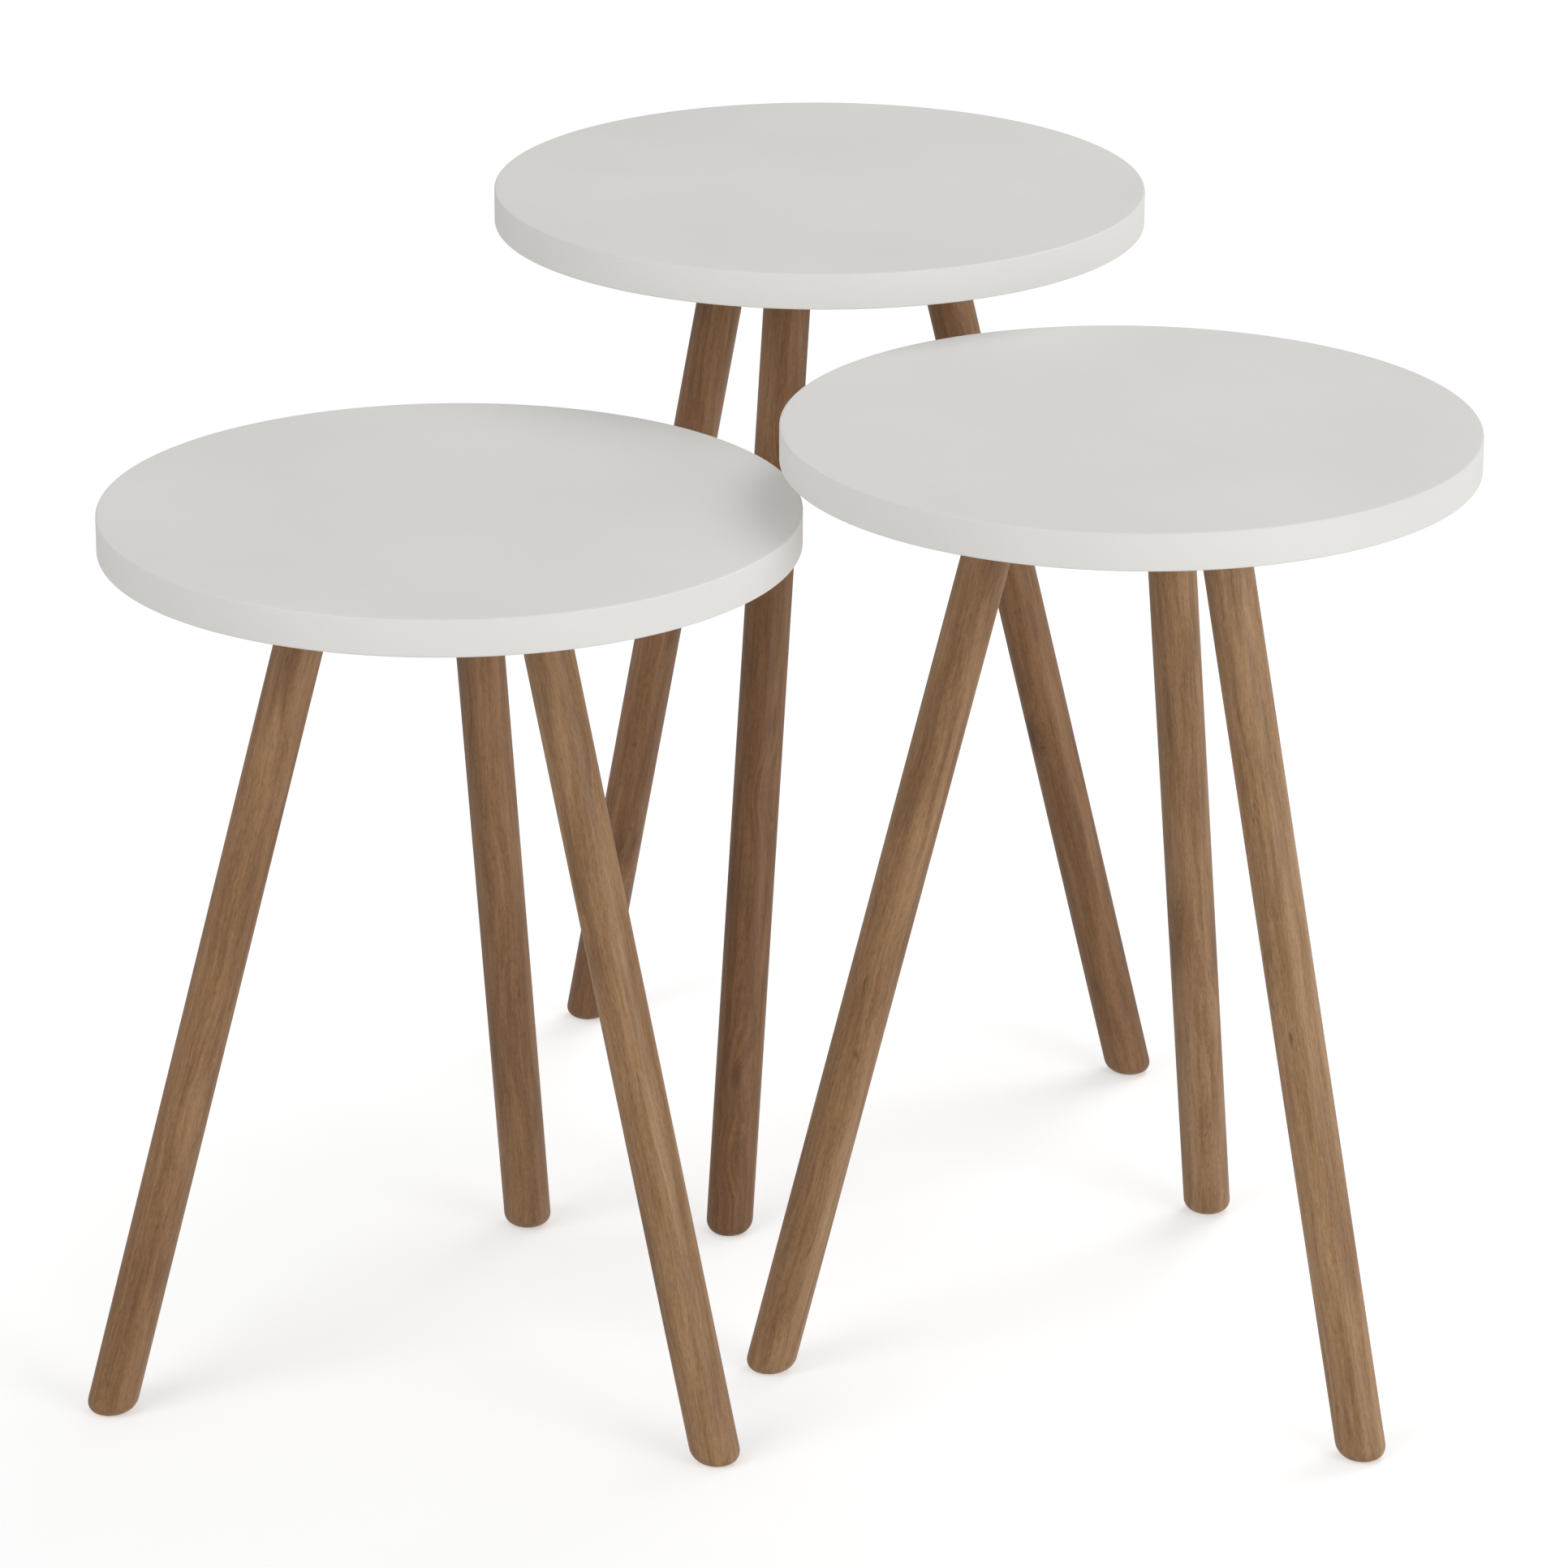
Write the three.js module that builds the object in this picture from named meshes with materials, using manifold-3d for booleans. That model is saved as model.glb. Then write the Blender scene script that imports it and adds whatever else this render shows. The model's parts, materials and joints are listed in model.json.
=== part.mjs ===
// Three nesting side tables. Each has a round white board for a top and three splayed round legs.
// Every leg is held by a hanger bolt in a round steel plate that is screwed under the top.
// Lengths are millimetres and angles are degrees. +Z is up and the floor is z = 0.
// The origin is on the floor, under the middle of the whole set's bounding box.

import * as THREE from 'three';
import { mergeVertices } from 'three/addons/utils/BufferGeometryUtils.js';
import Module from 'manifold-3d';

// Tables, from the tallest to the lowest. A table stands at `centre`, its first leg points to
// `firstLeg` (counterclockwise from +X) and the others follow at thirds of a turn.
// `legShift` is how far its three legs together sit off the middle of the top.
const TABLES = [
  { name: 'tall', height: 535, centre: [21.7, 174], legShift: [0, 0], footCircle: 186, firstLeg: 15.3 },
  { name: 'mid', height: 500, centre: [175.6, -147], legShift: [0, 0], footCircle: 182.5, firstLeg: 71.1 },
  { name: 'low', height: 465, centre: [-162.5, -174], legShift: [-5, 0], footCircle: 182, firstLeg: 79.5 },
];
const LEGS_PER_TABLE = 3;

// Tops
const TOP_DIAMETER = 350;
const TOP_THICKNESS = 19;
const TOP_EDGE = 1;

// Legs. The axis of a leg meets the underside of the top on LEG_CIRCLE and the floor on footCircle.
const LEG_DIAMETER = 25;
const LEG_CIRCLE = 61.5;
const FOOT_ROUNDING = 7;

// Plates and their slanted threaded bosses
const PLATE_DIAMETER = 64;
const PLATE_THICKNESS = 2.5;
const BOSS_DIAMETER = 18;
const BOSS_LENGTH = 9;

// Hanger bolts, measured down the leg's axis from the underside of the top
const BOLT_DIAMETER = 8;
const BOLT_START = 1.5;
const BOLT_LENGTH = 50;
const BOLT_CHAMFER = 1;
const BOLT_POINT = 7;

// Countersunk wood screws that hold a plate to the top
const SCREWS_PER_PLATE = 3;
const SCREW_CIRCLE = 24;
const FIRST_SCREW = 60;
const SCREW_LENGTH = 16;
const SCREW_DIAMETER = 3.6;
const SCREW_POINT = 3;
const SCREW_HEAD_DIAMETER = 8;
const SCREW_HEAD_DEPTH = 2.2;

// Clearance between pieces that touch on the real tables
const GAP = 0.3;

// How far a hole's cutter reaches past the face it opens
const OVERSHOOT = 1;

// Sides of the round shapes
const TOP_SIDES = 64;
const LEG_SIDES = 24;
const PLATE_SIDES = 24;
const BOLT_SIDES = 12;
const SCREW_SIDES = 8;
const ROUNDING_STEPS = 3;

const whiteBoard = { color: 0xe8e6e2, roughness: 0.55, metalness: 0 };
const stainedWood = { color: 0x8f6d50, roughness: 0.6, metalness: 0 };
const zincSteel = { color: 0xb4b8bc, roughness: 0.35, metalness: 0.9 };

const wasm = await Module();
wasm.setup();

const radians = THREE.MathUtils.degToRad;

// A solid turned about the Z axis. The profile's [radius, height] points run upwards.
function turned(profile, sides) {
  const points = profile.map(([radius, height]) => new THREE.Vector2(radius, height));
  return new THREE.LatheGeometry(points, sides).rotateX(Math.PI / 2);
}

function rod(radius, bottom, top, sides) {
  return turned([[0, bottom], [radius, bottom], [radius, top], [0, top]], sides);
}

// Corner points are shared before a shape becomes a solid, and flat triangles on the axis go.
function toSolid(geometry) {
  const bare = geometry.clone();
  bare.deleteAttribute('normal');
  bare.deleteAttribute('uv');
  const merged = mergeVertices(bare);
  const corners = merged.index.array;
  const triangles = [];
  for (let i = 0; i < corners.length; i += 3) {
    const [a, b, c] = corners.slice(i, i + 3);
    if (a !== b && b !== c && c !== a) triangles.push(a, b, c);
  }
  return new wasm.Manifold(new wasm.Mesh({
    numProp: 3,
    vertProperties: merged.attributes.position.array,
    triVerts: new Uint32Array(triangles),
  }));
}

function toGeometry(solid) {
  const mesh = solid.getMesh();
  const geometry = new THREE.BufferGeometry();
  geometry.setAttribute('position', new THREE.BufferAttribute(mesh.vertProperties, 3));
  geometry.setIndex(new THREE.BufferAttribute(mesh.triVerts, 1));
  geometry.computeVertexNormals();
  return geometry;
}

function cut(solid, geometries) {
  return geometries.reduce((rest, geometry) => rest.subtract(toSolid(geometry)), solid);
}

function pieceOf(name, geometry, look) {
  const mesh = new THREE.Mesh(geometry, new THREE.MeshStandardMaterial(look));
  mesh.name = name;
  return mesh;
}

function anglesOf(count, first) {
  return Array.from({ length: count }, (_, i) => radians(first + (i * 360) / count));
}

// Where a plate's screws go, seen from the plate's middle. One points to the table's centre.
const screwPlaces = anglesOf(SCREWS_PER_PLATE, FIRST_SCREW).map((angle) => [
  SCREW_CIRCLE * Math.cos(angle),
  SCREW_CIRCLE * Math.sin(angle),
]);

// Top: a disc with both edges eased, and blind pilot holes for the screws.
// The drawing height 0 is the underside.
function topGeometry(table) {
  const radius = TOP_DIAMETER / 2;
  const disc = turned([
    [0, 0],
    [radius - TOP_EDGE, 0],
    [radius, TOP_EDGE],
    [radius, TOP_THICKNESS - TOP_EDGE],
    [radius - TOP_EDGE, TOP_THICKNESS],
    [0, TOP_THICKNESS],
  ], TOP_SIDES);
  const holeRadius = SCREW_DIAMETER / 2 + GAP;
  const holeDepth = SCREW_LENGTH - PLATE_THICKNESS + GAP;
  const hole = turned([
    [0, -OVERSHOOT],
    [holeRadius, -OVERSHOOT],
    [holeRadius, holeDepth - SCREW_POINT],
    [0, holeDepth],
  ], SCREW_SIDES);
  const holes = anglesOf(LEGS_PER_TABLE, table.firstLeg).flatMap((angle) =>
    screwPlaces.map(([x, y]) => hole.clone()
      .translate(LEG_CIRCLE + x, y, 0)
      .rotateZ(angle)
      .translate(table.legShift[0], table.legShift[1], 0)));
  return toGeometry(cut(toSolid(disc), holes));
}

// A leg stands in the XZ plane of its own group. A shape drawn along the Z axis, with height 0 at
// the underside of the top, is placed so that it runs along the leg.
function alongLeg(geometry, tilt, underside) {
  return geometry.rotateY(-tilt).translate(LEG_CIRCLE, 0, underside);
}

// Leg: a round bar whose foot is cut level with the floor and rounded. A level slice of a leaning
// bar is an ellipse, so the bar is drawn upright, widened by 1 / cos(tilt) and then sheared.
// Its upper end is square to its axis, rests on the boss and is bored for the hanger bolt.
function legGeometry(table, tilt, underside) {
  const radius = LEG_DIAMETER / 2;
  const rounding = Array.from({ length: ROUNDING_STEPS + 1 }, (_, i) => {
    const angle = (i / ROUNDING_STEPS) * Math.PI / 2;
    return [
      radius - FOOT_ROUNDING * (1 - Math.sin(angle)),
      FOOT_ROUNDING * (1 - Math.cos(angle)),
    ];
  });
  const upright = turned([[0, 0], ...rounding, [radius, underside], [0, underside]], LEG_SIDES);
  const lean = new THREE.Matrix4().set(
    1 / Math.cos(tilt), 0, -Math.tan(tilt), table.footCircle,
    0, 1, 0, 0,
    0, 0, 1, 0,
    0, 0, 0, 1,
  );
  const seat = -BOSS_LENGTH - GAP;
  const boreRadius = BOLT_DIAMETER / 2 + GAP;
  const boreEnd = -BOLT_START - BOLT_LENGTH - 2 * GAP;
  const cutter = turned([
    [0, boreEnd],
    [boreRadius, boreEnd + BOLT_POINT],
    [boreRadius, seat],
    [LEG_DIAMETER, seat],
    [LEG_DIAMETER, LEG_DIAMETER],
    [0, LEG_DIAMETER],
  ], BOLT_SIDES);
  const bar = toSolid(upright.applyMatrix4(lean));
  return toGeometry(cut(bar, [alongLeg(cutter, tilt, underside)]));
}

// Plate: a disc with a boss along the leg's axis, a hole for the bolt and countersunk screw holes.
function plateGeometry(tilt, underside) {
  const face = underside - GAP;
  const back = face - PLATE_THICKNESS;
  const disc = rod(PLATE_DIAMETER / 2, back, face, PLATE_SIDES).translate(LEG_CIRCLE, 0, 0);
  const boss = rod(BOSS_DIAMETER / 2, -BOSS_LENGTH, BOSS_DIAMETER, PLATE_SIDES);
  const above = rod(PLATE_DIAMETER, face, face + 2 * BOSS_DIAMETER, PLATE_SIDES);
  const boltHole = rod(BOLT_DIAMETER / 2 + GAP, -2 * BOSS_LENGTH, BOSS_LENGTH, BOLT_SIDES);
  const shankHole = SCREW_DIAMETER / 2 + GAP;
  const headHole = SCREW_HEAD_DIAMETER / 2 + GAP;
  const countersink = turned([
    [0, -OVERSHOOT],
    [headHole, -OVERSHOOT],
    [headHole, 0],
    [shankHole, SCREW_HEAD_DEPTH],
    [shankHole, PLATE_THICKNESS + OVERSHOOT],
    [0, PLATE_THICKNESS + OVERSHOOT],
  ], SCREW_SIDES);
  const screwHoles = screwPlaces.map(([x, y]) =>
    countersink.clone().translate(LEG_CIRCLE + x, y, back));
  const body = toSolid(disc).add(toSolid(alongLeg(boss, tilt, underside)));
  return toGeometry(cut(body, [
    above.translate(LEG_CIRCLE, 0, 0),
    alongLeg(boltHole, tilt, underside),
    ...screwHoles,
  ]));
}

// Hanger bolt: machine thread at the top, wood screw point at the bottom.
function boltGeometry(tilt, underside) {
  const radius = BOLT_DIAMETER / 2;
  const bottom = -BOLT_START - BOLT_LENGTH;
  const bolt = turned([
    [0, bottom],
    [radius, bottom + BOLT_POINT],
    [radius, -BOLT_START - BOLT_CHAMFER],
    [radius - BOLT_CHAMFER, -BOLT_START],
    [0, -BOLT_START],
  ], BOLT_SIDES);
  return alongLeg(bolt, tilt, underside);
}

// Screw: the drawing height 0 is the face of its head, and its point is above.
const screwGeometry = turned([
  [0, 0],
  [SCREW_HEAD_DIAMETER / 2, 0],
  [SCREW_DIAMETER / 2, SCREW_HEAD_DEPTH],
  [SCREW_DIAMETER / 2, SCREW_LENGTH - SCREW_POINT],
  [0, SCREW_LENGTH],
], SCREW_SIDES);

// One leg with its plate, bolt and screws, in the XZ plane. Leg numbers start at 1.
function legGroup(table, number, shapes, underside) {
  const group = new THREE.Group();
  const prefix = `${table.name}_leg_${number}`;
  group.add(pieceOf(prefix, shapes.leg, stainedWood));
  group.add(pieceOf(`${prefix}_plate`, shapes.plate, zincSteel));
  group.add(pieceOf(`${prefix}_hanger_bolt`, shapes.bolt, zincSteel));
  screwPlaces.forEach(([x, y], i) => {
    const screw = pieceOf(`${prefix}_plate_screw_${'abc'[i]}`, screwGeometry, zincSteel);
    screw.position.set(LEG_CIRCLE + x, y, underside - GAP - PLATE_THICKNESS);
    group.add(screw);
  });
  return group;
}

function tableGroup(table) {
  const underside = table.height - TOP_THICKNESS;
  const tilt = Math.atan2(table.footCircle - LEG_CIRCLE, underside);
  const shapes = {
    leg: legGeometry(table, tilt, underside),
    plate: plateGeometry(tilt, underside),
    bolt: boltGeometry(tilt, underside),
  };
  const group = new THREE.Group();
  group.position.set(table.centre[0], table.centre[1], 0);
  const top = pieceOf(`${table.name}_top`, topGeometry(table), whiteBoard);
  top.position.z = underside;
  group.add(top);
  anglesOf(LEGS_PER_TABLE, table.firstLeg).forEach((angle, i) => {
    const leg = legGroup(table, i + 1, shapes, underside);
    leg.position.set(table.legShift[0], table.legShift[1], 0);
    leg.rotation.z = angle;
    group.add(leg);
  });
  return group;
}

const nestingTables = new THREE.Group();
TABLES.forEach((table) => nestingTables.add(tableGroup(table)));

export default nestingTables;
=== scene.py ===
import json
import math
import random

import bmesh
import bpy
from mathutils import Matrix, Vector


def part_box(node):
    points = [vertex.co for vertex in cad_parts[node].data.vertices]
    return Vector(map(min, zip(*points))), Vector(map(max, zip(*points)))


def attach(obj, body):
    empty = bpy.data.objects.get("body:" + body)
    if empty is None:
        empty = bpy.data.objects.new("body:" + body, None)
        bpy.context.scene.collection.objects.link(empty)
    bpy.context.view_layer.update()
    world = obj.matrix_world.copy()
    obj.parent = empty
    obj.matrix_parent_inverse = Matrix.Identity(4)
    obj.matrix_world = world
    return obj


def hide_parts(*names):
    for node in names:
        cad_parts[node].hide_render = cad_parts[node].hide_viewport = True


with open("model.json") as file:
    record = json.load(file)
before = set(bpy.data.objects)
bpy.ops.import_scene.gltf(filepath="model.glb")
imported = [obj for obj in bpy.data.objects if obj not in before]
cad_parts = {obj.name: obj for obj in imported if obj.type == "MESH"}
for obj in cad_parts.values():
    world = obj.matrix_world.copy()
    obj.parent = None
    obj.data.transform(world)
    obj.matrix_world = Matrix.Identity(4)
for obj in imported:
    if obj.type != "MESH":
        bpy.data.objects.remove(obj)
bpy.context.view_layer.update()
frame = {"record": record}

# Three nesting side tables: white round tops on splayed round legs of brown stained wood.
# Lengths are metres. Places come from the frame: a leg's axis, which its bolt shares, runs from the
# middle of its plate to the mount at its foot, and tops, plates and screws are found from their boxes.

MM = 0.001

TABLES = ("tall", "mid", "low")
LEG_NUMBERS = (1, 2, 3)
SCREW_LETTERS = "abc"
CHANCE_SEED = 11

# Camera at the photograph's angle
LENS = 162.36
SENSOR_WIDTH = 36
CAMERA_PLACE = Vector((3.5, -3510.7, 1542.8)) * MM
CAMERA_DOWN = 20.142
CAMERA_ROLL = 0.171
CAMERA_REACH = 100

# Light: radiance from above and from below, each as an even part and a part added towards +X. The
# two meet at the horizon, over this much of the direction's height to either side.
SKY = (0.41, 0.10)
BOUNCE = (0.56, 0.37)
HORIZON_BLEND = 0.01
SOFTBOX_SIZE = 2.2
SOFTBOX_DISTANCE = 3.4
SOFTBOX_AIM = Vector((0, 0, 0.35))

# Each softbox's azimuth in degrees counterclockwise from +X, its elevation, and its power in watts
SOFTBOXES = {"key": (315, 10, 40), "fill": (225, 30, 33), "side": (50, 50, 34)}

# Floor. Its glow is added to the light that falls on it, and rises between two distances from the
# middle, because the softboxes light the floor less further out.
FLOOR_HALF = 60
FLOOR_DROP = 0.2 * MM
FLOOR_COLOUR = (0.80, 0.80, 0.80, 1)
FLOOR_GLOW = (0.43, 0.72)
FLOOR_GLOW_REACH = (1.5, 5.0)

# Tops
TOP_SIDES = 256
TOP_EDGE = 1.0 * MM
TOP_MARGIN = 2 * MM
EDGE_STEPS = 5
PILOT_HOLE_RADIUS = 2.1 * MM

# Legs
LEG_RADIUS = 12.5 * MM
LEG_SIDES = 72
LEG_RING_STEP = 20 * MM
FOOT_ROUNDING = 7 * MM
FOOT_STEPS = 8
LEVEL_RINGS = 40 * MM
LEG_TOP_CHAMFER = 0.8 * MM
# Each leg's depth of stain with painted shade and light in it, and the power of it that scales red,
# green and blue.
# The tall table's legs, at the back behind and under the other tops, are made darker to paint the shade
# they stand in.
# The others differ partly by their own stain and partly by painted light from the front right. The
# powers make the darker legs more saturated.
LEG_STAIN_AND_SHADE = {"tall": (0.81, 0.79, 0.77), "mid": (1.10, 1.01, 1.17), "low": (0.90, 0.92, 1.10)}
STAIN_AND_SHADE_POWERS = (1.0, 1.4, 1.8)
GRAIN_SPREAD = 3

# Plates and bosses. The pressed ring is (inner radius, outer radius, height).
PLATE_SIDES = 96
PLATE_EDGE = 0.7 * MM
BOSS_RADIUS = 9 * MM
BOSS_LENGTH = 9 * MM
BOSS_CHAMFER = 0.8 * MM
PRESSED_RING = (14 * MM, 18 * MM, 0.7 * MM)
SINK_HEIGHT = 4 * MM

# Hanger bolts, measured down from the underside of the top
BOLT_RADIUS = 4 * MM
BOLT_START = 1.5 * MM
BOLT_LENGTH = 50 * MM
BOLT_POINT = 7 * MM
BOLT_CHAMFER = 1 * MM
BOLT_TIP = 0.5 * MM
BORE_RADIUS = 4.3 * MM
BORE_POINT = 0.6 * MM

# Threads are (pitch, depth, sharpness): at a sharpness of 1 the crest's flanks fill the whole pitch,
# and at 2 half of it. Near a point the groove takes at most its share of the radius, so that a core
# is left, and the point's end is blunt by its own share.
MACHINE_THREAD = (1.25 * MM, 0.7 * MM, 1.0)
MACHINE_LENGTH = 16 * MM
WOOD_THREAD = (3 * MM, 1.0 * MM, 2.2)
WOOD_LENGTH = 20 * MM
BOLT_GROOVE_SHARE = 0.6
BOLT_BLUNT_SHARE = 0.08
SCREW_THREAD = (1.6 * MM, 0.55 * MM, 2.0)
SCREW_GROOVE_SHARE = 0.5
SCREW_BLUNT_SHARE = 0.06

# Screws. The rim of a head is (radius, height) from its face.
SCREW_HEAD_RADIUS = 4 * MM
SCREW_HEAD_DEPTH = 2.2 * MM
SCREW_RADIUS = 1.8 * MM
SCREW_LENGTH = 16 * MM
SCREW_POINT = 3 * MM
SCREW_TIP = 0.2 * MM
SCREW_RIM = ((SCREW_HEAD_RADIUS - 0.2 * MM, 0), (SCREW_HEAD_RADIUS, 0.15 * MM),
             (SCREW_HEAD_RADIUS, 0.35 * MM))
CROSS_WIDTH = 0.9 * MM
CROSS_LENGTH = 4.2 * MM
CROSS_DEPTH = 1.5 * MM
CROSS_TAPER = 0.45

# CLEARANCE is left between pieces, OVERSHOOT is how far a cutter starts outside what it cuts, and
# WELD is how near to each other two points of a mesh have to be to count as one
CLEARANCE = 0.3 * MM
OVERSHOOT = 1 * MM
WELD = 0.002 * MM
THREAD_SIDES = 24
STEPS_PER_PITCH = 8
SHARP_ANGLE = 32


# ---------------------------------------------------------------- materials

class Graph:
    """Adds linked nodes to a material or world with one call each."""

    def __init__(self, owner):
        owner.use_nodes = True
        self.tree = owner.node_tree
        self.tree.nodes.clear()

    def node(self, kind, inputs=None, **settings):
        made = self.tree.nodes.new(kind)
        for name, value in settings.items():
            setattr(made, name, value)
        for name, value in (inputs or {}).items():
            if isinstance(value, bpy.types.NodeSocket):
                self.tree.links.new(value, made.inputs[name])
            else:
                made.inputs[name].default_value = value
        return made

    def maths(self, operation, a, b):
        return self.node("ShaderNodeMath", {0: a, 1: b}, operation=operation).outputs[0]

    def stretched(self, vector, scales):
        return self.node("ShaderNodeVectorMath", {0: vector, 1: scales},
                         operation="MULTIPLY").outputs[0]

    def noise(self, vector, scales, detail=2.0, roughness=0.5, distortion=0.0):
        place = self.stretched(vector, scales)
        return self.node("ShaderNodeTexNoise", {
            "Vector": place, "Scale": 1.0, "Detail": detail, "Roughness": roughness,
            "Distortion": distortion,
        }).outputs["Fac"]

    def remap(self, value, low, high, to_low=0.0, to_high=1.0):
        return self.node("ShaderNodeMapRange", {
            "Value": value, "From Min": low, "From Max": high, "To Min": to_low, "To Max": to_high,
        }).outputs["Result"]

    def ramp(self, value, stops):
        made = self.node("ShaderNodeValToRGB", {"Fac": value})
        elements = made.color_ramp.elements
        while len(elements) < len(stops):
            elements.new(0.5)
        for element, (position, colour) in zip(elements, stops):
            element.position = position
            element.color = (*colour, 1)
        return made.outputs["Color"]

    def mix(self, factor, a, b):
        made = self.node("ShaderNodeMix", {"Factor": factor}, data_type="RGBA")
        # By number, because a Mix node's number and vector sockets have the same names.
        colour_a, colour_b, colour_out = made.inputs[6], made.inputs[7], made.outputs[2]
        for socket, value in ((colour_a, a), (colour_b, b)):
            if isinstance(value, bpy.types.NodeSocket):
                self.tree.links.new(value, socket)
            else:
                socket.default_value = (*value, 1)
        return colour_out

    def bump(self, height, strength, distance):
        return self.node("ShaderNodeBump", {
            "Height": height, "Strength": strength, "Distance": distance,
        }).outputs["Normal"]

    def finish(self, **inputs):
        shader = self.node("ShaderNodeBsdfPrincipled",
                           {name.replace("_", " "): value for name, value in inputs.items()})
        self.node("ShaderNodeOutputMaterial", {"Surface": shader.outputs["BSDF"]})


def white_lacquer():
    """Matte white lacquer on board: nearly even, with faint clouding and a fine sprayed texture."""
    material = bpy.data.materials.new("white_lacquer")
    graph = Graph(material)
    place = graph.node("ShaderNodeTexCoord").outputs["Object"]
    clouds = graph.noise(place, (9, 9, 9), detail=3)
    fine = graph.noise(place, (700, 700, 700), detail=2)
    colour = graph.mix(graph.remap(clouds, 0.3, 0.7), (0.795, 0.785, 0.760), (0.825, 0.812, 0.785))
    colour = graph.mix(graph.remap(fine, 0.3, 0.75, 0.0, 0.06), colour, (0.62, 0.61, 0.58))
    roughness = graph.remap(clouds, 0.3, 0.7, 0.50, 0.60)
    graph.finish(Base_Color=colour, Roughness=roughness, Specular_IOR_Level=0.4,
                 Normal=graph.bump(fine, 0.12, 0.0003))
    return material


def stained_wood():
    """Brown stained wood. The grain attribute runs along the leg in its Z, in metres.

    Each leg's stain attribute is its own depth of stain with painted shade and light in it: it scales
    red, green and blue.
    """
    material = bpy.data.materials.new("stained_wood")
    graph = Graph(material)
    grain = graph.node("ShaderNodeAttribute", attribute_name="grain").outputs["Vector"]
    stain_and_shade = graph.node("ShaderNodeAttribute", attribute_name="stain_and_shade").outputs["Vector"]

    cells = graph.node("ShaderNodeTexVoronoi", {
        "Vector": graph.stretched(grain, (34, 34, 15)), "Scale": 1.0, "Randomness": 1.0,
    })
    chosen = graph.node("ShaderNodeSeparateColor", {"Color": cells.outputs["Color"]}).outputs["Red"]
    chosen = graph.maths("GREATER_THAN", chosen, 0.70)
    swirl = graph.maths("MULTIPLY", chosen, graph.remap(cells.outputs["Distance"], 0.42, 0.05))
    knot = graph.maths("MULTIPLY", chosen, graph.remap(cells.outputs["Distance"], 0.16, 0.05))

    wander = graph.node("ShaderNodeTexNoise", {
        "Vector": graph.stretched(grain, (26, 26, 9)), "Scale": 1.0, "Detail": 2.0,
    }).outputs["Color"]
    wander = graph.stretched(wander, (0.012, 0.012, 0))
    curl = graph.node("ShaderNodeCombineXYZ", {
        "X": graph.maths("MULTIPLY", swirl, 0.006), "Y": graph.maths("MULTIPLY", swirl, -0.004),
    }).outputs["Vector"]
    flow = grain
    for shift in (wander, curl):
        flow = graph.node("ShaderNodeVectorMath", {0: flow, 1: shift}, operation="ADD").outputs[0]

    broad = graph.noise(flow, (62, 62, 6), detail=2)
    bands = graph.noise(flow, (170, 170, 10), detail=2, roughness=0.55)
    streaks = graph.noise(flow, (520, 520, 26), detail=3, roughness=0.6)
    fibres = graph.noise(flow, (1400, 1400, 230), detail=3, roughness=0.7)
    layers = graph.noise(flow, (900, 200, 18), detail=2, roughness=0.5)
    light = 0.5
    for part, share in ((broad, 0.50), (bands, 0.42), (streaks, 0.28), (fibres, 0.42), (layers, 0.20)):
        part = graph.maths("MULTIPLY", graph.maths("SUBTRACT", part, 0.5), share)
        light = graph.maths("ADD", part, light)
    colour = graph.ramp(light, (
        (0.25, (0.155, 0.073, 0.027)),
        (0.42, (0.247, 0.127, 0.053)),
        (0.55, (0.331, 0.180, 0.083)),
        (0.75, (0.422, 0.257, 0.138)),
    ))
    stain = graph.noise(flow, (210, 210, 13), detail=3, roughness=0.6)
    colour = graph.mix(graph.remap(stain, 0.55, 0.74, 0.0, 0.50), colour, (0.150, 0.074, 0.030))
    pores = graph.noise(flow, (2300, 2300, 260), detail=1)
    colour = graph.mix(graph.remap(pores, 0.58, 0.72, 0.0, 0.30), colour, (0.080, 0.038, 0.017))
    flecks = graph.noise(flow, (260, 260, 60), detail=1, distortion=0.8)
    colour = graph.mix(graph.remap(flecks, 0.73, 0.82, 0.0, 0.60), colour, (0.062, 0.031, 0.015))
    colour = graph.mix(graph.maths("MULTIPLY", knot, 0.6), colour, (0.085, 0.043, 0.020))
    # Painted shade and light: the leg's colour is scaled by its own stain together with the shade or
    # light that falls on it
    colour = graph.stretched(colour, stain_and_shade)
    relief = graph.maths("SUBTRACT", fibres, graph.maths("MULTIPLY", pores, 0.5))
    graph.finish(Base_Color=colour, Roughness=graph.remap(fibres, 0.3, 0.7, 0.42, 0.56),
                 Specular_IOR_Level=0.4, Normal=graph.bump(relief, 0.2, 0.0002))
    return material


def zinc_steel():
    """Zinc-plated steel: a bright grey metal with a cloudy, faintly yellowish bloom."""
    material = bpy.data.materials.new("zinc_steel")
    graph = Graph(material)
    place = graph.node("ShaderNodeTexCoord").outputs["Object"]
    bloom = graph.noise(place, (140, 140, 140), detail=4)
    scuffs = graph.noise(place, (900, 60, 400), detail=2)
    colour = graph.mix(graph.remap(bloom, 0.35, 0.7), (0.66, 0.68, 0.70), (0.60, 0.585, 0.53))
    roughness = graph.maths("ADD", graph.remap(bloom, 0.3, 0.7, 0.26, 0.42),
                            graph.remap(scuffs, 0.55, 0.75, 0.0, 0.12))
    graph.finish(Base_Color=colour, Metallic=1.0, Roughness=roughness,
                 Normal=graph.bump(scuffs, 0.05, 0.0001))
    return material


# ---------------------------------------------------------------- meshes

def arc(centre, radius, start, end, steps):
    """Points of an arc in (radius, height), with angles in degrees from the outward direction."""
    angles = [math.radians(start + (end - start) * i / steps) for i in range(steps + 1)]
    return [(centre[0] + radius * math.cos(a), centre[1] + radius * math.sin(a)) for a in angles]


def circle(radius, height, sides, place):
    """The points of a level circle round the Z axis, counterclockwise, moved to a place."""
    turns = [2 * math.pi * i / sides for i in range(sides)]
    return [place @ Vector((radius * math.cos(a), radius * math.sin(a), height)) for a in turns]


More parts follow.
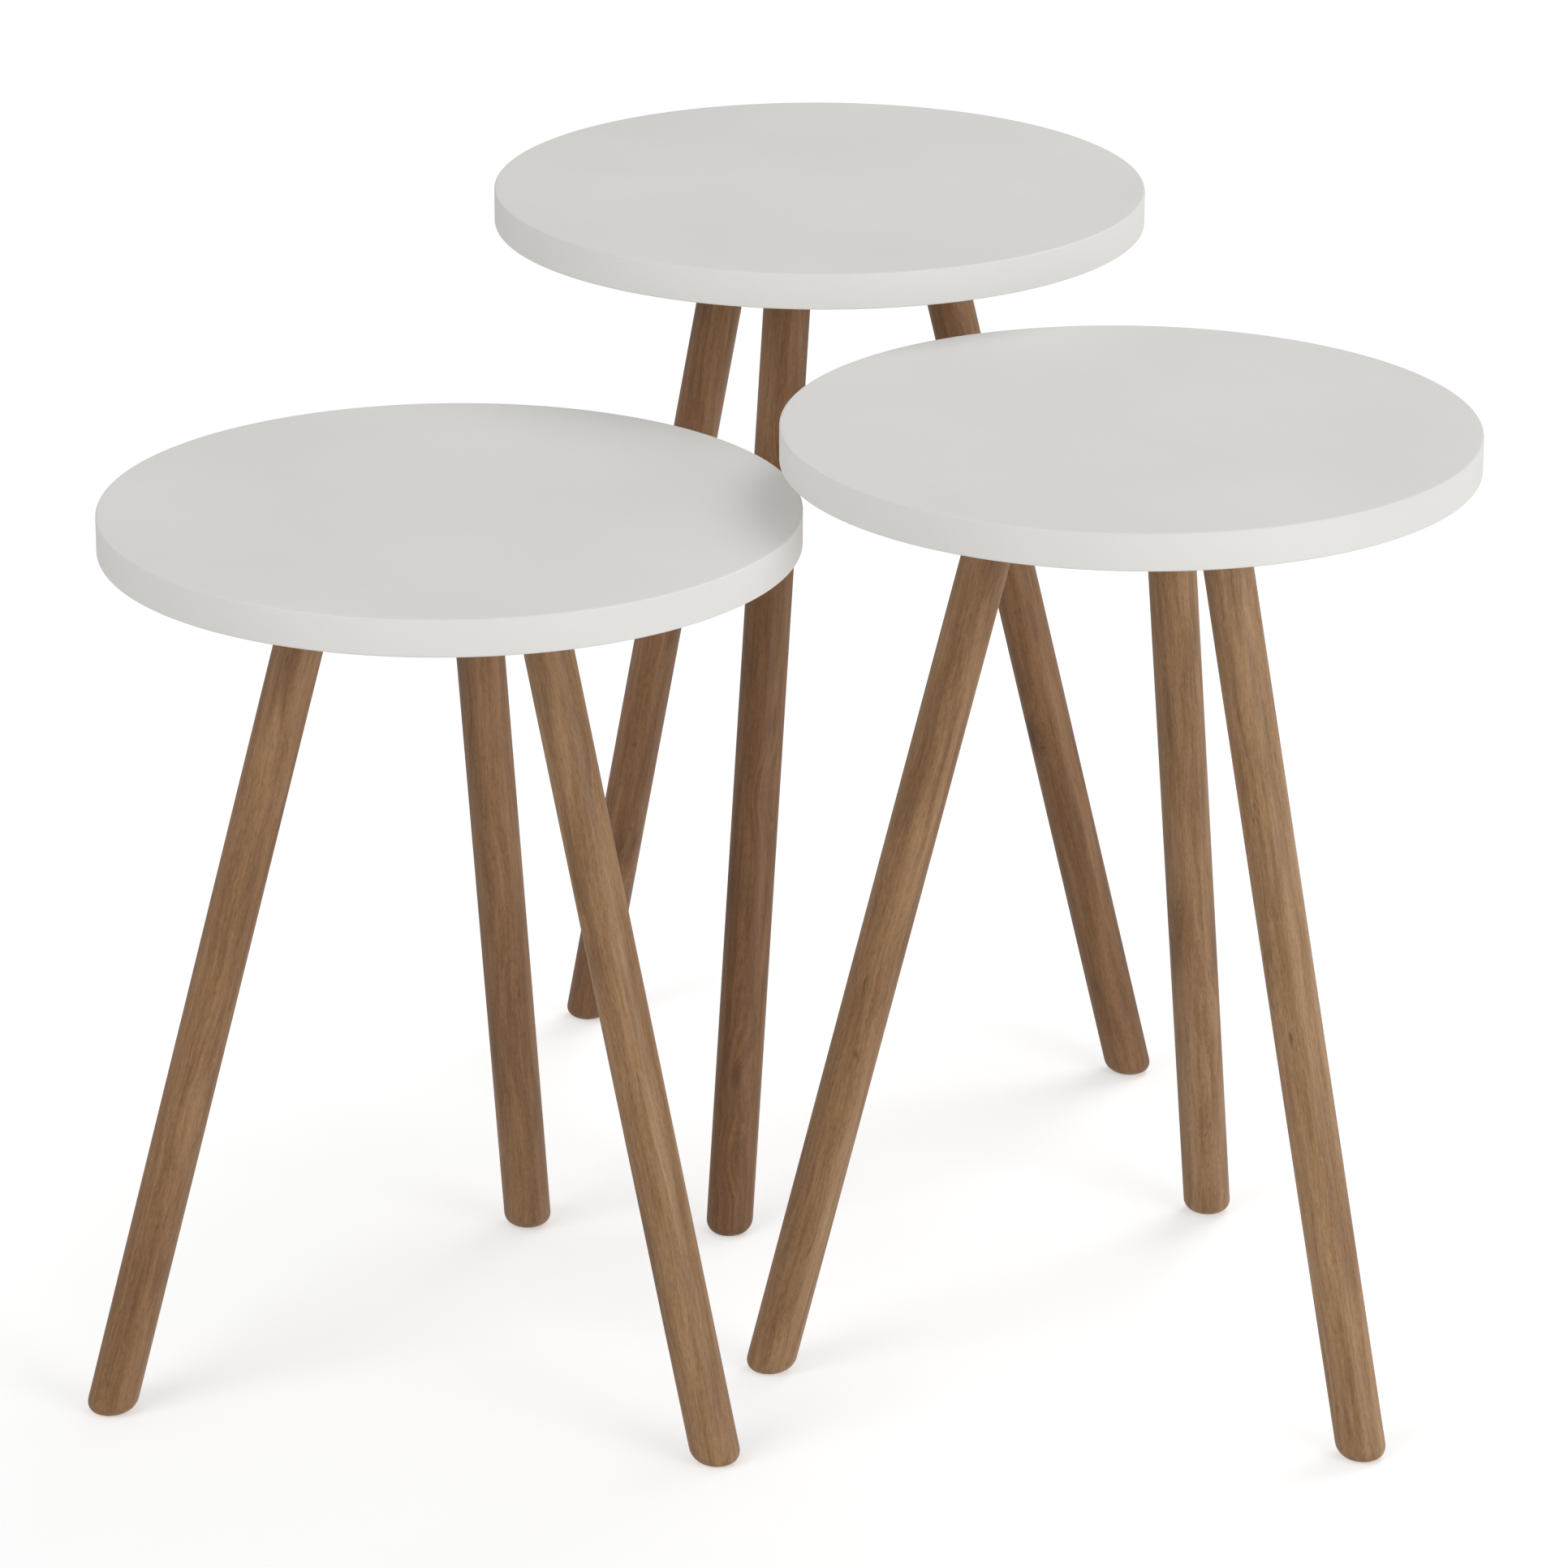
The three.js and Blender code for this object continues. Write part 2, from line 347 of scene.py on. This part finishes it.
def loft(rings):
    """Vertices and faces over rings of equal length. A ring of one point is a pole."""
    vertices, starts = [], []
    for ring in rings:
        starts.append(len(vertices))
        vertices.extend(ring)
    faces = []
    for lower, upper, start, above in zip(rings, rings[1:], starts, starts[1:]):
        sides = max(len(lower), len(upper))
        for i in range(sides):
            j = (i + 1) % sides
            if len(lower) == 1:
                faces.append((start, above + j, above + i))
            elif len(upper) == 1:
                faces.append((start + i, start + j, above))
            else:
                faces.append((start + i, start + j, above + j, above + i))
    return vertices, faces


def revolve(profile, sides, place=Matrix.Identity(4)):
    """A solid of revolution. The (radius, height) profile runs from the axis below to the axis above."""
    return loft([
        circle(radius, height, sides, place) if radius > 0 else [place @ Vector((0, 0, height))]
        for radius, height in profile
    ])


def raw_object(name, vertices, faces):
    mesh = bpy.data.meshes.new(name)
    mesh.from_pydata([tuple(v) for v in vertices], [], faces)
    mesh.validate()
    made = bpy.data.objects.new(name, mesh)
    bpy.context.scene.collection.objects.link(made)
    return made


def welded(mesh):
    """Merges the points that a cut leaves on top of each other, and drops faces with no area."""
    work = bmesh.new()
    work.from_mesh(mesh)
    bmesh.ops.remove_doubles(work, verts=work.verts, dist=WELD)
    bmesh.ops.dissolve_degenerate(work, edges=work.edges, dist=WELD)
    work.to_mesh(mesh)
    work.free()
    return mesh


def combined(target, tools, operation):
    """Joins or cuts target with the tools, which are then deleted, and keeps the resulting mesh."""
    for tool in tools:
        step = target.modifiers.new("step", "BOOLEAN")
        step.operation = operation
        step.solver = "EXACT"
        step.object = tool
    evaluated = target.evaluated_get(bpy.context.evaluated_depsgraph_get())
    mesh = bpy.data.meshes.new_from_object(evaluated)
    target.modifiers.clear()
    target.data = welded(mesh)
    for tool in tools:
        bpy.data.objects.remove(tool)


def finished(piece, material, body, node):
    """Shades a piece, gives it its material and puts it on its body in place of its CAD node."""
    mesh = piece.data
    mesh.materials.clear()
    mesh.materials.append(material)
    mesh.polygons.foreach_set("material_index", [0] * len(mesh.polygons))
    mesh.polygons.foreach_set("use_smooth", [True] * len(mesh.polygons))
    mesh.set_sharp_from_angle(angle=math.radians(SHARP_ANGLE))
    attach(piece, body)
    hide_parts(node)


# ---------------------------------------------------------------- places from the frame

def middle(node):
    low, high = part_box(node)
    return (low + high) / 2


def mount_place(name):
    for mount in frame["record"]["mounts"]:
        if mount["name"] == name:
            return Vector(mount["pos_m"])
    raise KeyError(name)


def leg_axis(table, number):
    """Where the leg's axis meets the underside of the top, and where it meets the floor."""
    plate = middle(f"{table}_leg_{number}_plate")
    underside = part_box(f"{table}_top")[0].z
    return Vector((plate.x, plate.y, underside)), mount_place(f"{table}_foot_{number}")


def along_axis(top, foot):
    """A place whose origin is the top end of the axis and whose +Z points up along the leg."""
    up = (top - foot).normalized()
    return Matrix.Translation(top) @ up.to_track_quat("Z", "Y").to_matrix().to_4x4()


def screw_places(table, number):
    """Each screw's name and the middle of its head's face."""
    names = [f"{table}_leg_{number}_plate_screw_{letter}" for letter in SCREW_LETTERS]
    places = []
    for name in names:
        centre = middle(name)
        places.append((name, Vector((centre.x, centre.y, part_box(name)[0].z))))
    return places


# ---------------------------------------------------------------- pieces

def make_top(table, material):
    node = f"{table}_top"
    low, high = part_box(node)
    centre = Vector(((low.x + high.x) / 2, (low.y + high.y) / 2, low.z))
    radius = (high.x - low.x) / 2
    thickness = high.z - low.z
    inner = radius - TOP_EDGE
    profile = [(0, 0), (inner - TOP_MARGIN, 0)]
    profile += arc((inner, TOP_EDGE), TOP_EDGE, -90, 0, EDGE_STEPS)
    profile += arc((inner, thickness - TOP_EDGE), TOP_EDGE, 0, 90, EDGE_STEPS)
    profile += [(inner - TOP_MARGIN, thickness), (0, thickness)]
    top = raw_object(f"{table}_round_top",
                     *revolve(profile, TOP_SIDES, Matrix.Translation(centre)))
    holes = []
    for number in LEG_NUMBERS:
        for name, head in screw_places(table, number):
            place = Matrix.Translation((head.x, head.y, low.z))
            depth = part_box(name)[1].z - low.z + CLEARANCE
            hole = [(0, -OVERSHOOT), (PILOT_HOLE_RADIUS, -OVERSHOOT),
                    (PILOT_HOLE_RADIUS, depth - SCREW_POINT), (0, depth)]
            holes.append(raw_object("hole", *revolve(hole, THREAD_SIDES, place)))
    combined(top, holes, "DIFFERENCE")
    finished(top, material, f"{table}_table", node)


def leg_turns():
    """Angles from out to side around a leg, in the order that turns its faces outward."""
    return [-2 * math.pi * i / LEG_SIDES for i in range(LEG_SIDES)]


def level_ring(top, down, out, side, height, inset):
    """The leg's outline where a level plane cuts it, drawn in by inset."""
    centre = top + down * ((height - top.z) / down.z)
    ring = []
    for angle in leg_turns():
        spoke = LEG_RADIUS * (math.cos(angle) * out + math.sin(angle) * side)
        reach = (height - top.z - spoke.z) / down.z
        point = top + spoke + down * reach
        ring.append(centre + (point - centre) * (1 - inset / LEG_RADIUS))
    return ring


def square_ring(top, down, out, side, distance, radius):
    """A ring square to the leg's axis, at a distance down from the underside of the top."""
    centre = top + down * distance
    return [centre + radius * (math.cos(a) * out + math.sin(a) * side) for a in leg_turns()]


def make_leg(table, number, material, chance):
    """A round leg. Its foot is cut level and rounded; its upper end is square and bored."""
    top, foot = leg_axis(table, number)
    down = (foot - top).normalized()
    side = Vector((0, 0, 1)).cross(down).normalized()
    out = side.cross(down)
    frame_of_leg = (top, down, out, side)
    rings = [[foot.copy()], level_ring(*frame_of_leg, 0, (FOOT_ROUNDING + LEG_RADIUS) / 2)]
    for radius, height in arc((0, FOOT_ROUNDING), FOOT_ROUNDING, -90, 0, FOOT_STEPS):
        rings.append(level_ring(*frame_of_leg, height, FOOT_ROUNDING - radius))
    rings.append(level_ring(*frame_of_leg, LEVEL_RINGS / 2, 0))
    seat = BOSS_LENGTH + CLEARANCE
    distance = (foot - top).length - LEVEL_RINGS
    while distance > seat + LEG_RING_STEP / 2:
        rings.append(square_ring(*frame_of_leg, distance, LEG_RADIUS))
        distance -= LEG_RING_STEP
    bore_end = BOLT_START + BOLT_LENGTH + BORE_POINT
    for distance, radius in (
        (seat + LEG_TOP_CHAMFER, LEG_RADIUS),
        (seat, LEG_RADIUS - LEG_TOP_CHAMFER),
        (seat, BORE_RADIUS + LEG_TOP_CHAMFER / 2),
        (seat + LEG_TOP_CHAMFER / 2, BORE_RADIUS),
        (bore_end - BOLT_POINT, BORE_RADIUS),
    ):
        rings.append(square_ring(*frame_of_leg, distance, radius))
    rings.append([top + down * bore_end])
    vertices, faces = loft(rings)
    leg = raw_object(f"{table}_round_leg_{number}", vertices, faces)
    roll = chance.uniform(0, 2 * math.pi)
    start = Vector([chance.uniform(-GRAIN_SPREAD, GRAIN_SPREAD) for _ in range(3)])
    grain = leg.data.attributes.new("grain", "FLOAT_VECTOR", "POINT")
    for point, vertex in zip(grain.data, vertices):
        offset = vertex - top
        across = Vector((offset.dot(out), offset.dot(side), offset.dot(down)))
        point.vector = Matrix.Rotation(roll, 3, "Z") @ across + start
    # Painted shade and light: this per-leg scale darkens the back legs for the shade they stand in and
    # lightens some front ones, over each leg's own stain
    stain_and_shade = leg.data.attributes.new("stain_and_shade", "FLOAT_VECTOR", "POINT")
    scales = [LEG_STAIN_AND_SHADE[table][number - 1] ** power for power in STAIN_AND_SHADE_POWERS]
    stain_and_shade.data.foreach_set("vector", scales * len(vertices))
    finished(leg, material, f"{table}_table", f"{table}_leg_{number}")


def make_plate(table, number, material):
    """A pressed round plate with countersunk holes and a slanted boss, bored for the bolt."""
    node = f"{table}_leg_{number}_plate"
    low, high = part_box(node)
    top, foot = leg_axis(table, number)
    axis_place = along_axis(top, foot)
    radius = (high.x - low.x) / 2
    face = high.z
    screws = screw_places(table, number)
    back = screws[0][1].z
    ring_in, ring_out, ring_depth = PRESSED_RING
    profile = [
        (0, back), (ring_in, back), (ring_in + ring_depth, back - ring_depth),
        (ring_out - ring_depth, back - ring_depth), (ring_out, back),
    ]
    profile += arc((radius - PLATE_EDGE, back + PLATE_EDGE), PLATE_EDGE, -90, 0, EDGE_STEPS)
    profile += [(radius, face), (0, face)]
    disc_place = Matrix.Translation((top.x, top.y, 0))
    plate = raw_object(f"{node}_pressed", *revolve(profile, PLATE_SIDES, disc_place))
    end = -BOSS_LENGTH
    boss = [
        (0, end), (BOSS_RADIUS - BOSS_CHAMFER, end), (BOSS_RADIUS, end + BOSS_CHAMFER),
        (BOSS_RADIUS, BOSS_RADIUS), (0, BOSS_RADIUS),
    ]
    combined(plate, [raw_object("boss", *revolve(boss, PLATE_SIDES // 2, axis_place))], "UNION")
    above = [(0, face), (2 * radius, face), (2 * radius, face + radius), (0, face + radius)]
    cutters = [raw_object("above", *revolve(above, THREAD_SIDES, disc_place))]
    bore = [(0, -2 * BOSS_LENGTH), (BORE_RADIUS, -2 * BOSS_LENGTH),
            (BORE_RADIUS, BOSS_LENGTH), (0, BOSS_LENGTH)]
    cutters.append(raw_object("bore", *revolve(bore, PLATE_SIDES // 2, axis_place)))
    head, shank = SCREW_HEAD_RADIUS + CLEARANCE, SCREW_RADIUS + CLEARANCE
    sink = [(0, -OVERSHOOT), (head, -OVERSHOOT), (head, 0), (shank, SCREW_HEAD_DEPTH),
            (shank, SINK_HEIGHT), (0, SINK_HEIGHT)]
    for _, place in screws:
        cutters.append(raw_object("sink", *revolve(sink, THREAD_SIDES, Matrix.Translation(place))))
    combined(plate, cutters, "DIFFERENCE")
    finished(plate, material, f"{table}_table", node)


def groove_depth(thread, height, turn, from_end):
    """How deep a thread's groove is at a height and turn. It fades out over a pitch to the end."""
    pitch, depth, sharpness = thread
    phase = (height / pitch - turn) % 1.0
    crest = max(0.0, 1.0 - abs(2 * phase - 1) * sharpness)
    fade = min(1.0, max(0.0, from_end / pitch))
    return depth * fade * (1 - crest)


def threaded(radius_at, groove_at, start, end, pitch, place):
    """Rings of a rod whose radius is radius_at(height) less groove_at(height, turn)."""
    count = max(2, round((end - start) / pitch * STEPS_PER_PITCH))
    rings = []
    for i in range(count + 1):
        height = start + (end - start) * i / count
        ring = []
        for k in range(THREAD_SIDES):
            turn = k / THREAD_SIDES
            radius = radius_at(height) - groove_at(height, turn)
            angle = 2 * math.pi * turn
            ring.append(place @ Vector((radius * math.cos(angle), radius * math.sin(angle), height)))
        rings.append(ring)
    return rings


def make_bolt(table, number, material):
    """A hanger bolt: fine machine thread above, coarse pointed wood thread below."""
    node = f"{table}_leg_{number}_hanger_bolt"
    place = along_axis(*leg_axis(table, number))
    top_end = -BOLT_START
    bottom_end = top_end - BOLT_LENGTH
    machine_end = top_end - MACHINE_LENGTH
    wood_end = bottom_end + BOLT_POINT + WOOD_LENGTH

    def chamfered(height):
        return min(BOLT_RADIUS, BOLT_RADIUS - BOLT_CHAMFER + (top_end - height))

    def machine_groove(height, turn):
        return groove_depth(MACHINE_THREAD, height, turn, height - machine_end)

    def pointed(height):
        point = (height - bottom_end) / BOLT_POINT
        return BOLT_RADIUS * min(1.0, max(BOLT_BLUNT_SHARE, point))

    def wood_groove(height, turn):
        deepest = BOLT_GROOVE_SHARE * pointed(height)
        return min(groove_depth(WOOD_THREAD, height, turn, wood_end - height), deepest)

    rings = [[place @ Vector((0, 0, bottom_end))]]
    rings += threaded(pointed, wood_groove, bottom_end + BOLT_TIP, wood_end, WOOD_THREAD[0], place)
    rings += threaded(chamfered, machine_groove, machine_end, top_end, MACHINE_THREAD[0], place)
    rings.append([place @ Vector((0, 0, top_end))])
    bolt = raw_object(f"{node}_threaded", *loft(rings))
    finished(bolt, material, f"{table}_table", node)


def make_screw(name, place_of_head, table, material, chance):
    """A countersunk wood screw with a cross recess in its head, pointing up."""
    spin = Matrix.Rotation(chance.uniform(0, math.pi), 4, "Z")
    place = Matrix.Translation(place_of_head) @ spin

    def pointed(height):
        point = (SCREW_LENGTH - height) / SCREW_POINT
        return SCREW_RADIUS * min(1.0, max(SCREW_BLUNT_SHARE, point))

    def groove(height, turn):
        deepest = SCREW_GROOVE_SHARE * pointed(height)
        return min(groove_depth(SCREW_THREAD, height, turn, height - SCREW_HEAD_DEPTH), deepest)

    rings = [[place @ Vector((0, 0, 0))]]
    rings += [circle(radius, height, THREAD_SIDES, place) for radius, height in SCREW_RIM]
    rings += threaded(pointed, groove, SCREW_HEAD_DEPTH, SCREW_LENGTH - SCREW_TIP, SCREW_THREAD[0],
                      place)
    rings.append([place @ Vector((0, 0, SCREW_LENGTH))])
    screw = raw_object(f"{name}_threaded", *loft(rings))
    slots = []
    for quarter in (0, math.pi / 2):
        half_length, half_width = CROSS_LENGTH / 2, CROSS_WIDTH / 2
        corners = [(x * half_length * k, y * half_width, z)
                   for z, k in ((-OVERSHOOT, 1.0), (CROSS_DEPTH, CROSS_TAPER))
                   for x, y in ((-1, -1), (1, -1), (1, 1), (-1, 1))]
        faces = [(3, 2, 1, 0), (4, 5, 6, 7), (0, 1, 5, 4), (1, 2, 6, 5), (2, 3, 7, 6), (3, 0, 4, 7)]
        spot = place @ Matrix.Rotation(quarter, 4, "Z")
        slots.append(raw_object("slot", [spot @ Vector(c) for c in corners], faces))
    combined(screw, slots, "DIFFERENCE")
    finished(screw, material, f"{table}_table", name)


# ---------------------------------------------------------------- stage

def make_floor():
    """A wide pale floor just under the feet, clear from below to show the undersides.

    It lends the tables no light of its own: the lower half of the world stands in for its bounce.
    """
    corners = [
        (x * FLOOR_HALF, y * FLOOR_HALF, -FLOOR_DROP) for x, y in ((-1, -1), (1, -1), (1, 1), (-1, 1))
    ]
    floor = raw_object("floor", corners, [(0, 1, 2, 3)])
    material = bpy.data.materials.new("floor_paper")
    material.cycles.emission_sampling = "NONE"
    graph = Graph(material)
    surface = graph.node("ShaderNodeNewGeometry").outputs
    distance = graph.node("ShaderNodeVectorMath", {0: surface["Position"]},
                          operation="LENGTH").outputs["Value"]
    strength = graph.remap(distance, *FLOOR_GLOW_REACH, *FLOOR_GLOW)
    paper = graph.node("ShaderNodeBsdfDiffuse", {"Color": FLOOR_COLOUR})
    glow = graph.node("ShaderNodeEmission", {"Color": (1, 1, 1, 1), "Strength": strength})
    lit = graph.node("ShaderNodeAddShader", {0: paper.outputs[0], 1: glow.outputs[0]})
    clear = graph.node("ShaderNodeBsdfTransparent")
    shown = graph.node("ShaderNodeMixShader",
                       {0: surface["Backfacing"], 1: lit.outputs[0], 2: clear.outputs[0]})
    graph.node("ShaderNodeOutputMaterial", {"Surface": shown.outputs[0]})
    floor.data.materials.append(material)
    floor.visible_diffuse = False
    floor.visible_glossy = False


def make_world():
    """Light from above and the floor's bounce from below, both stronger on the side of +X."""
    world = bpy.data.worlds.new("studio")
    graph = Graph(world)
    direction = graph.node("ShaderNodeTexCoord").outputs["Generated"]
    parts = graph.node("ShaderNodeSeparateXYZ", {"Vector": direction}).outputs
    sideways = graph.maths("MAXIMUM", parts["X"], 0.0)
    even, added = (
        graph.remap(parts["Z"], -HORIZON_BLEND, HORIZON_BLEND, below, above)
        for below, above in zip(BOUNCE, SKY)
    )
    strength = graph.maths("ADD", even, graph.maths("MULTIPLY", added, sideways))
    sky = graph.node("ShaderNodeBackground", {"Color": (1, 1, 1, 1), "Strength": strength})
    graph.node("ShaderNodeOutputWorld", {"Surface": sky.outputs[0]})
    bpy.context.scene.world = world


def softbox(name, azimuth, elevation, power):
    """A round softbox turned to the tables."""
    light = bpy.data.lights.new(name, "AREA")
    light.shape = "DISK"
    light.size = SOFTBOX_SIZE
    light.energy = power
    lamp = bpy.data.objects.new(name, light)
    around, up = math.radians(azimuth), math.radians(elevation)
    away = Vector((math.cos(around) * math.cos(up), math.sin(around) * math.cos(up), math.sin(up)))
    lamp.location = SOFTBOX_AIM + SOFTBOX_DISTANCE * away
    lamp.rotation_euler = (-away).to_track_quat("-Z", "Y").to_euler()
    lamp.visible_camera = False
    bpy.context.scene.collection.objects.link(lamp)


def make_camera():
    camera = bpy.data.cameras.new("camera")
    camera.sensor_width = SENSOR_WIDTH
    camera.lens = LENS
    camera.clip_end = CAMERA_REACH
    holder = bpy.data.objects.new("camera", camera)
    tilt = Matrix.Rotation(math.radians(90 - CAMERA_DOWN), 4, "X")
    roll = Matrix.Rotation(math.radians(CAMERA_ROLL), 4, "Z")
    holder.matrix_world = Matrix.Translation(CAMERA_PLACE) @ tilt @ roll
    bpy.context.scene.collection.objects.link(holder)
    bpy.context.scene.camera = holder


def main():
    chance = random.Random(CHANCE_SEED)
    lacquer, wood, steel = white_lacquer(), stained_wood(), zinc_steel()
    for table in TABLES:
        make_top(table, lacquer)
        for number in LEG_NUMBERS:
            make_leg(table, number, wood, chance)
            make_plate(table, number, steel)
            make_bolt(table, number, steel)
            for name, place in screw_places(table, number):
                make_screw(name, place, table, steel, chance)
    make_floor()
    make_world()
    for name, settings in SOFTBOXES.items():
        softbox(name, *settings)
    make_camera()
    bpy.context.scene.view_settings.view_transform = "Standard"


main()
